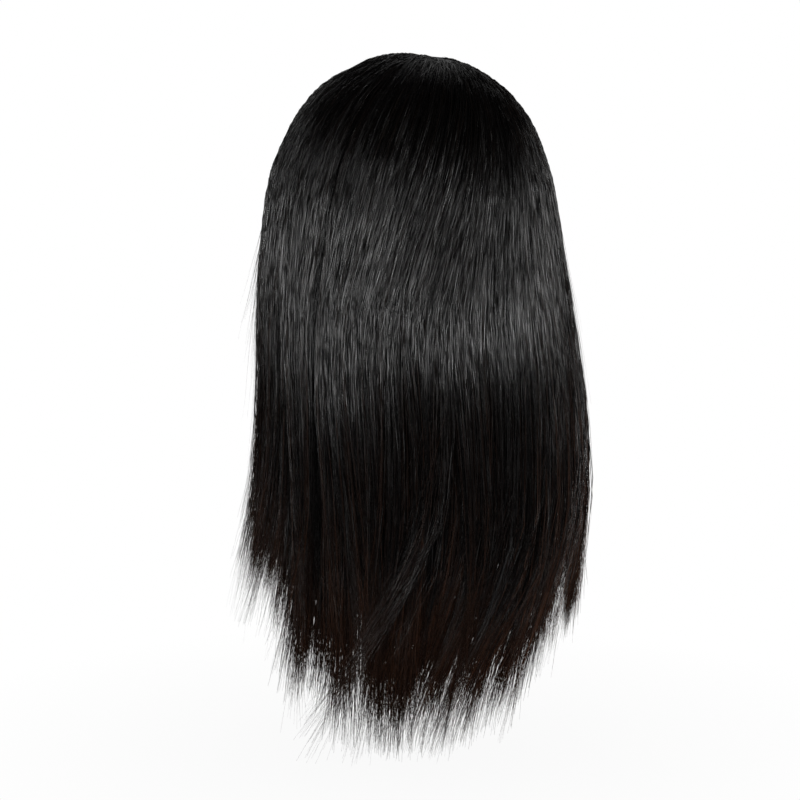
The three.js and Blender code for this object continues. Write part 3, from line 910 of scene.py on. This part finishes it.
# %% Closure opening
# The closure's outline seen from above, in millimetres, and the gap between the lace and the net.
CLOSURE_HALF_WIDTH, CLOSURE_FRONT_Y, CLOSURE_BACK_Y = 42.0, -115.0, -6.0
CLOSURE_CORNER, CLOSURE_GAP = 12.0, 0.3
CORNER_STEP = 10  # degrees between the points of a rounded corner
CUTTER_LOW_Z, CUTTER_TOP_Z = 2 * RING_Z, 20.0  # well below and above the crown
SHARP_ANGLE = math.radians(40)  # edges that turn more than this stay sharp


def closure_back(margin):
    """The closure's sides and back seen from above, from the wearer's left to the right."""
    arc = np.radians(np.arange(0, 91, CORNER_STEP))
    x = CLOSURE_HALF_WIDTH + margin - CLOSURE_CORNER * (1 - np.cos(arc))
    y = CLOSURE_BACK_Y + margin - CLOSURE_CORNER * (1 - np.sin(arc))
    left = np.stack([x, y], -1)
    return np.vstack([left, left[::-1] * [-1, 1]])


def apply_modifiers(made):
    """Bakes an object's modifiers into its mesh."""
    ready = made.evaluated_get(bpy.context.evaluated_depsgraph_get())
    made.data = bpy.data.meshes.new_from_object(ready)
    made.modifiers.clear()
    return made


half = CLOSURE_HALF_WIDTH + CLOSURE_GAP
outline = np.vstack([closure_back(CLOSURE_GAP), [[-half, CLOSURE_FRONT_Y], [half, CLOSURE_FRONT_Y]]])
corners = len(outline)
prism = np.vstack([np.c_[outline, np.full(corners, z)] for z in (CUTTER_LOW_Z, CUTTER_TOP_Z)])
sides = [[i, (i + 1) % corners, (i + 1) % corners + corners, i + corners] for i in range(corners)]
ends = [list(range(corners))[::-1], list(range(corners, 2 * corners))]
cutter = weld(new_object("closure_cutter", prism, sides + ends, flat=True))
cut = cap.modifiers.new("closure opening", "BOOLEAN")
cut.operation, cut.solver, cut.object = "DIFFERENCE", "EXACT", cutter
apply_modifiers(cap)
bpy.data.objects.remove(cutter)
cap.data.set_sharp_from_angle(angle=SHARP_ANGLE)
print("cap with its opening:", triangles(cap), "triangles")

# %% [markdown]
# ## Net as a material
#
# Stretch net is knitted from fine dyed nylon: matt, nearly black, and open. Threads 1 mm apart would
# blur to grey here, so the net is drawn at 2.5 mm. Two sets of waves cross at right angles over a
# map in millimetres, and the higher of the two is the thread. It lightens the thread and dents the
# hole between. An image could do this too, but it would need unwrapping and a file.

# %% Black stretch net
# To the eye: matt black with a faint lighter mesh.
NET_SIZE = 2.5  # millimetres
WAVE_PERIOD = 2 * math.pi / 20  # a wave texture of scale 1 repeats after this length

net_material, tree = new_material("black_stretch_net")
mapped = node(tree, "ShaderNodeUVMap", uv_map="net_mm").outputs["UV"]
crossed = node(tree, "ShaderNodeMapping", {"Vector": mapped, "Rotation": (0, 0, math.radians(45))})
threads = [
    node(tree, "ShaderNodeTexWave", {
        "Vector": crossed.outputs[0], "Scale": WAVE_PERIOD / NET_SIZE, "Distortion": 0.4,
    }, bands_direction=way).outputs["Fac"]
    for way in "XY"
]
net = node(tree, "ShaderNodeMath", {0: threads[0], 1: threads[1]}, operation="MAXIMUM").outputs[0]
colour = ramp(tree, net, [(0.0, "#070606"), (0.6, "#120f0e"), (1.0, "#2b2522")])
dent = node(tree, "ShaderNodeBump", {"Height": net, "Strength": 0.7, "Distance": 0.4 * MM})
rough = node(tree, "ShaderNodeMapRange", {"Value": net, "To Min": 0.95, "To Max": 0.75})
shader = node(tree, "ShaderNodeBsdfPrincipled", {
    "Base Color": colour, "Roughness": rough.outputs[0], "Normal": dent.outputs[0],
    "Specular IOR Level": 0.3,
})
node(tree, "ShaderNodeOutputMaterial", {"Surface": shader.outputs["BSDF"]})
place(cap, "net", net_material, "cap")

# %% [markdown]
# ## The lace closure
#
# The closure is a panel of hexagonal lace, 90 mm wide and 128 mm long over the curve, and hairs are
# knotted into it one by one. It is see-through, so painted holes would not do: each thread is real
# here. A sheet of hexagons is laid over the dome and a Wireframe modifier turns their edges into
# threads. Real cells are about 1 mm wide; they are drawn at 2.1 mm, so that they show.

# %% Lace laid over the crown
LACE_CELL, LACE_THREAD = 2.1, 0.42  # millimetres across
LACE_OFFSET = 0.6  # middle of the closure's wall
LACE_EDGE_FROM, LACE_EDGE_STEP = 140.0, 2.0  # azimuths of the lace's front edge
HEAD_CUT = {key: column[0] for key, column in HEAD["cuts"].items()}
ARC_ANGLES = np.radians(np.arange(0, 91))
ARC_LENGTHS = np.r_[0, np.cumsum(np.hypot(
    HEAD_CUT["front"] * np.diff(np.sin(ARC_ANGLES)), HEAD["height"] * np.diff(np.cos(ARC_ANGLES))
))]


def lace_point(across_mm, along_mm):
    """A point on the closure from lengths over the curve: to the wearer's left, and forward."""
    left = across_mm / HEAD_CUT["half_width"]
    forward = np.interp(along_mm, ARC_LENGTHS, ARC_ANGLES)
    level = np.full_like(left, RING_Z)
    return dome_point(HEAD, np.sin(left), -np.cos(left) * np.sin(forward), level, LACE_OFFSET)


def lace_place(x, y):
    """The lengths over the curve of a point seen from above."""
    left = np.arcsin(np.clip(x / HEAD_CUT["half_width"], -1, 1))
    forward = np.arcsin(np.clip(-y / HEAD_CUT["front"] / np.cos(left), -1, 1))
    return np.stack([left * HEAD_CUT["half_width"], np.interp(forward, ARC_ANGLES, ARC_LENGTHS)], -1)


right_half = np.arange(-LACE_EDGE_FROM, -180, -LACE_EDGE_STEP)
left_half = np.arange(180.0, LACE_EDGE_FROM - 1, -LACE_EDGE_STEP)
azimuth = np.r_[right_half, left_half]
edge = cap_point(azimuth, edge_run(azimuth), LACE_OFFSET)
edge = edge[np.abs(edge[:, 0]) < CLOSURE_HALF_WIDTH]
lace_outline = lace_place(*np.vstack([closure_back(0.0), edge[:, :2]]).T)
lace_low, lace_high = lace_outline.min(0), lace_outline.max(0)
print("lace laid flat, mm:", (lace_high - lace_low).round(1))

# %% Hexagons into threads
LACE_ROW = LACE_CELL * math.sqrt(3) / 2
LACE_WELD = 0.1  # millimetres within which corners of cells are joined


def inside(points, outline):
    """Which points lie in an outline, by how often a line to the side crosses it."""
    (x, y), (x0, y0) = points.T[:, :, None], outline.T
    x1, y1 = np.roll(outline, -1, axis=0).T
    crosses = (y0 > y) != (y1 > y)
    where = x0 + (y - y0) * (x1 - x0) / np.where(y1 == y0, 1e-9, y1 - y0)
    return (crosses & (where > x)).sum(1) % 2 == 1


def nearest_on(points, outline):
    """The nearest places on an outline."""
    start, step = outline, np.roll(outline, -1, axis=0) - outline
    off = points[:, None] - start
    along = np.clip((off * step).sum(2) / np.maximum((step**2).sum(1), 1e-9), 0, 1)
    places = start + along[..., None] * step
    best = np.linalg.norm(points[:, None] - places, axis=2).argmin(1)
    return places[np.arange(len(points)), best]


row_count, cell_count = ((lace_high - lace_low)[::-1] / (LACE_ROW, LACE_CELL)).astype(int) + 3
row, cell = np.meshgrid(np.arange(row_count), np.arange(cell_count), indexing="ij")
middles = np.stack([(cell - 1 + row % 2 / 2) * LACE_CELL, (row - 1) * LACE_ROW], -1).reshape(-1, 1, 2)
spokes = np.radians(np.arange(30, 390, 60))
spokes = np.stack([np.cos(spokes), np.sin(spokes)], -1) * LACE_CELL / math.sqrt(3)
cells = (lace_low + middles + spokes).reshape(-1, 2)
within = inside(cells, lace_outline).reshape(-1, 6).any(1)
cells = cells.reshape(-1, 6, 2)[within].reshape(-1, 2)
out = ~inside(cells, lace_outline)
cells[out] = nearest_on(cells[out], lace_outline)
faces = np.arange(len(cells)).reshape(-1, 6)
lace = weld(new_object("lace_net", lace_point(*cells.T), faces.tolist()), LACE_WELD * MM)
threads = lace.modifiers.new("threads", "WIREFRAME")
threads.thickness, threads.use_even_offset = LACE_THREAD * MM, False
apply_modifiers(lace)
print("lace cells:", len(faces))

# %% [markdown]
# ## Lace as a material
#
# Closure lace is woven from monofilament, dyed a scalp brown so that it vanishes against skin. The
# thread is matt with a faint plastic glint, so its roughness is 0.6. The dye takes unevenly, which a
# noise a few millimetres wide shows as lighter and darker patches.

# %% Scalp-brown monofilament lace
# To the eye: a soft brown haze of threads, a little uneven.
DYE_PATCH = 6.0  # millimetres

lace_material, tree = new_material("scalp_brown_monofilament_lace")
spot = node(tree, "ShaderNodeTexCoord").outputs["Object"]
dye = node(tree, "ShaderNodeTexNoise", {"Vector": spot, "Scale": 1 / (DYE_PATCH * MM), "Detail": 2.0})
colour = ramp(tree, dye.outputs["Fac"], [(0.3, "#6a4f3f"), (0.5, "#85664f"), (0.7, "#9c7b62")])
rough = node(tree, "ShaderNodeMapRange", {"Value": dye.outputs["Fac"], "To Min": 0.5, "To Max": 0.75})
shader = node(tree, "ShaderNodeBsdfPrincipled", {
    "Base Color": colour, "Roughness": rough.outputs[0], "IOR": 1.5,
})
node(tree, "ShaderNodeOutputMaterial", {"Surface": shader.outputs["BSDF"]})
place(lace, "lace", lace_material, "lace_closure")

# %% [markdown]
# ## Sewing
#
# Three kinds of sewing hold a wig together, and all show on the inside of the cap. The edge of the
# net is rolled into a hem. A zigzag of thread joins the lace to the net. Each weft is sewn on by a
# row of straight stitches, about twelve millimetres from the next row. Bump would give flat dashes,
# so the threads are thin tubes, made by the same function as the hair.

# %% Rolled hem
HEM_RADIUS, HEM_SIDES = 0.9, 8  # in millimetres, and round enough to show no edges
HEM_REACH, HEM_STEP = 143.0, 1.5  # degrees that it goes round to each side, and between stations


def thread(name, points, radius, sides=SIDES):
    """Tubes of one thickness along lines of points."""
    size = np.full(points.shape[:2], radius)
    return tubes(name, points, size, np.zeros(len(points)), sides)


azimuth = np.arange(-HEM_REACH, HEM_REACH + 0.1, HEM_STEP)
hem_line = cap_point(azimuth, edge_run(azimuth), CAP_WALL / 2)
hem = thread("rolled_hem", hem_line[None], HEM_RADIUS, HEM_SIDES)
print("hem stations:", len(azimuth))

# %% Zigzag round the closure
THREAD_RADIUS, THREAD_OFFSET = 0.22, -0.1  # thread lies just proud of the inside of the cap
ZIGZAG_PITCH, ZIGZAG_HALF = 1.4, 1.3  # millimetres along the seam, and to each side of it

seam = closure_back(CLOSURE_GAP / 2)
ends = [[side * (CLOSURE_HALF_WIDTH + CLOSURE_GAP / 2), edge[0, 1]] for side in (1, -1)]
seam = np.vstack([ends[:1], seam, ends[1:]])
length = np.r_[0, np.linalg.norm(np.diff(seam, axis=0), axis=1).cumsum()]
at = np.arange(0, length[-1], ZIGZAG_PITCH)
line = np.stack([np.interp(at, length, seam[:, 0]), np.interp(at, length, seam[:, 1])], -1)
way = unit(np.gradient(line, axis=0))[:, ::-1] * [1, -1]
line = line + way * (ZIGZAG_HALF * (-1) ** np.arange(len(at)))[:, None]
depth = np.where(line[:, 1] > 0, HEAD_CUT["back"], HEAD_CUT["front"])
level = np.full(len(at), RING_Z)
zigzag = dome_point(HEAD, line[:, 0] / HEAD_CUT["half_width"], line[:, 1] / depth, level, THREAD_OFFSET)
zigzag = thread("closure_zigzag", zigzag[None], THREAD_RADIUS)
print("zigzag stitches:", len(at))

# %% Weft stitches
STITCH, STITCH_PITCH, STITCH_STATIONS = 3.4, 5.0, 4  # length and pitch in millimetres, and points
LINE_STEP = 0.5  # degrees between the points of a row
EDGE_MARGIN = 0.04  # runs that a row keeps from the edge of the cap
STITCH_REACH = 6.0  # degrees; a stitch that spans more would cross a gap in its row
WEFT_LINES = {  # how far round the head rows go, and their runs
    142: (0.70, 0.82, 0.94, 1.06),
    88: (0.24, 0.35, 0.46, 0.57),
    72: (1.18, 1.30, 1.42, 1.55, 1.67, 1.79, 1.91),
}

stitches = []
for reach, runs in WEFT_LINES.items():
    for run in runs:
        azimuth = np.arange(-reach, reach, LINE_STEP)
        azimuth = azimuth[edge_run(azimuth) > run + EDGE_MARGIN]
        line = cap_point(azimuth, np.full(len(azimuth), run), THREAD_OFFSET)
        length = np.r_[0, np.linalg.norm(np.diff(line, axis=0), axis=1).cumsum()]
        starts = np.arange(0, length[-1] - STITCH, STITCH_PITCH)
        at = starts[:, None] + np.linspace(0, STITCH, STITCH_STATIONS)
        at = np.interp(at, length, azimuth)
        at = at[np.ptp(at, axis=1) < STITCH_REACH]
        stitches.append(cap_point(at, np.full(at.shape, run), THREAD_OFFSET))
stitches = thread("weft_stitches", np.vstack(stitches), THREAD_RADIUS)
print("weft stitches:", len(stitches.data.vertices) // (STITCH_STATIONS * SIDES))

# %% [markdown]
# ## Thread as a material
#
# The thread and the hem are spun polyester: soft, hardly glossy, and a shade lighter than the net,
# so that the sewing can be read against it. Its two plies twist round each other about once in a
# millimetre, which a fine noise stands for, because the twist is smaller than a pixel.

# %% Spun polyester thread
# To the eye: soft dark grey, with a slight grain.
PLY = 0.9  # millimetres

thread_material, tree = new_material("spun_polyester_thread")
spot = node(tree, "ShaderNodeTexCoord").outputs["Object"]
ply = node(tree, "ShaderNodeTexNoise", {"Vector": spot, "Scale": 1 / (PLY * MM), "Detail": 3.0})
colour = ramp(tree, ply.outputs["Fac"], [(0.3, "#2a2421"), (0.7, "#5a4e47")])
dent = node(tree, "ShaderNodeBump", {"Height": ply.outputs["Fac"], "Strength": 0.5, "Distance": 0.2 * MM})
rough = node(tree, "ShaderNodeMapRange", {"Value": ply.outputs["Fac"], "To Min": 0.55, "To Max": 0.9})
shader = node(tree, "ShaderNodeBsdfPrincipled", {
    "Base Color": colour, "Roughness": rough.outputs[0], "Normal": dent.outputs[0],
})
node(tree, "ShaderNodeOutputMaterial", {"Surface": shader.outputs["BSDF"]})
for sewn in (hem, zigzag, stitches):
    place(sewn, "net", thread_material)

# %% [markdown]
# ## The floor
#
# A wig keeps this form only when something fills the cap, so it is held up and the floor lies a
# little below its tips. Studio paper is so bright that it shows as plain white, and it should not
# throw light up into the black hair; so it glows for the camera alone, with a faint painted shadow
# of pale grey under the wig, and fades out into the white background before its edge.

# %% Pale studio floor
# To the eye: a pale grey that is hardly there, a painted shadow under the wig, and white further off.
FLOOR_Z, FLOOR_RADIUS = -375.0, 600.0  # millimetres
FLOOR_CORNERS = 96
FADE_FROM, FADE_TO = 0.3, 0.59  # metres from the middle

angle = np.linspace(0, 2 * np.pi, FLOOR_CORNERS, endpoint=False)
disc = np.stack([np.cos(angle), np.sin(angle), np.zeros_like(angle)], -1) * FLOOR_RADIUS
disc = disc + [0, 0, FLOOR_Z]
floor = new_object("studio_floor", disc, [list(range(FLOOR_CORNERS))], flat=True)

floor_material, tree = new_material("pale_studio_paper")
spot = node(tree, "ShaderNodeTexCoord").outputs["Object"]
flat_spot = node(tree, "ShaderNodeVectorMath", {0: spot, 1: (1, 1, 0)}, operation="MULTIPLY")
away = node(tree, "ShaderNodeVectorMath", {0: flat_spot.outputs[0]}, operation="LENGTH").outputs["Value"]
# painted shadow: the floor is a shade greyer under the wig than further off
colour = ramp(tree, away, [(0.0, "#f8f8f8"), (0.12, "#fbfbfb"), (FADE_FROM, "#ffffff")])
fade = node(tree, "ShaderNodeMapRange", {
    "Value": away, "From Min": FADE_FROM, "From Max": FADE_TO, "To Min": 1, "To Max": 0,
})
seen = node(tree, "ShaderNodeLightPath").outputs["Is Camera Ray"]
below = node(tree, "ShaderNodeNewGeometry").outputs["Backfacing"]
above = node(tree, "ShaderNodeMath", {0: seen, 1: below}, operation="SUBTRACT", use_clamp=True)
shown = node(tree, "ShaderNodeMath", {0: above.outputs[0], 1: fade.outputs[0]}, operation="MULTIPLY")
glow = node(tree, "ShaderNodeEmission", {"Color": colour})
clear = node(tree, "ShaderNodeBsdfTransparent")
mixed = node(tree, "ShaderNodeMixShader", {0: shown.outputs[0], 1: clear.outputs[0], 2: glow.outputs[0]})
node(tree, "ShaderNodeOutputMaterial", {"Surface": mixed.outputs[0]})
floor.data.materials.append(floor_material)
print("floor at", FLOOR_Z, "mm")

# %% [markdown]
# ## Camera
#
# The photograph is taken from straight behind and a little above, from far enough away that the
# hair hardly tapers. The lens follows from the distance: the wig fills seven eighths of the frame.

# %% Camera behind the wig
TARGET = Vector((0.00605, 0.0, -0.1794))  # what is in the middle of the picture, in metres
DISTANCE, ELEVATION = 1.4, 8.0  # metres and degrees
SENSOR, LENS = 36.0, 114.5  # millimetres


def aim(made, azimuth, elevation, distance):
    """Puts an object round the target, facing it; azimuth 0 is behind the wig."""
    a, e = math.radians(azimuth), math.radians(elevation)
    away = Vector((math.sin(a) * math.cos(e), math.cos(a) * math.cos(e), math.sin(e)))
    bpy.context.collection.objects.link(made)
    made.location = TARGET + away * distance
    made.rotation_mode = "QUATERNION"
    made.rotation_quaternion = (-away).to_track_quat("-Z", "Y")
    return made


camera = aim(bpy.data.objects.new("camera", bpy.data.cameras.new("camera")), 0, ELEVATION, DISTANCE)
camera.data.sensor_width, camera.data.lens = SENSOR, LENS
bpy.context.scene.camera = camera
print("camera at", [round(value, 3) for value in camera.location])

# %% [markdown]
# ## Light
#
# Gloss on straight hair is a band across it, where the strands tilt so as to mirror the light. A wide
# softbox at the camera's height puts the band below the crown, and a weaker one above it draws the
# band's soft upper edge. One at each side lights the edges, a faint one below the tips, and two in
# front of the wig the crest and the hair beside the face. The world is white to the camera but nearly
# dark to the hair, because a bright world would lift the black to grey. The view transform is
# Standard, so that white stays white.

# %% Softboxes and background
SOFTBOXES = {  # azimuth and elevation in degrees, distance, width and height in metres, watts
    "key_softbox": (4, 4.4, 1.7, 1.5, 0.52, 22),
    "upper_softbox": (6, 30, 1.7, 1.2, 0.75, 8),
    "left_softbox": (60, 0, 1.7, 0.9, 0.42, 4.5),
    "right_softbox": (-75, 12, 1.7, 0.8, 0.8, 12),
    "low_softbox": (0, -22, 1.6, 1.2, 0.4, 0.15),
    "crest_softbox": (180, 30, 1.6, 1.6, 1.0, 2),
    "front_softbox": (180, -10, 1.7, 1.2, 0.8, 18),
}
WORLD_GLOW = 0.014  # how bright the background is to the hair

for name, (azimuth, elevation, distance, width, height, watts) in SOFTBOXES.items():
    lamp = bpy.data.lights.new(name, "AREA")
    lamp.shape, lamp.size, lamp.size_y, lamp.energy = "RECTANGLE", width, height, watts
    aim(bpy.data.objects.new(name, lamp), azimuth, elevation, distance)

world = bpy.data.worlds.new("studio")
bpy.context.scene.world = world
world.use_nodes = True
tree = world.node_tree
tree.nodes.clear()
seen = node(tree, "ShaderNodeLightPath").outputs["Is Camera Ray"]
strength = node(tree, "ShaderNodeMapRange", {"Value": seen, "To Min": WORLD_GLOW, "To Max": 1.0})
sky = node(tree, "ShaderNodeBackground", {"Color": linear("#ffffff"), "Strength": strength.outputs[0]})
node(tree, "ShaderNodeOutputWorld", {"Surface": sky.outputs["Background"]})
bpy.context.scene.view_settings.view_transform = "Standard"
print("lights:", ", ".join(SOFTBOXES))
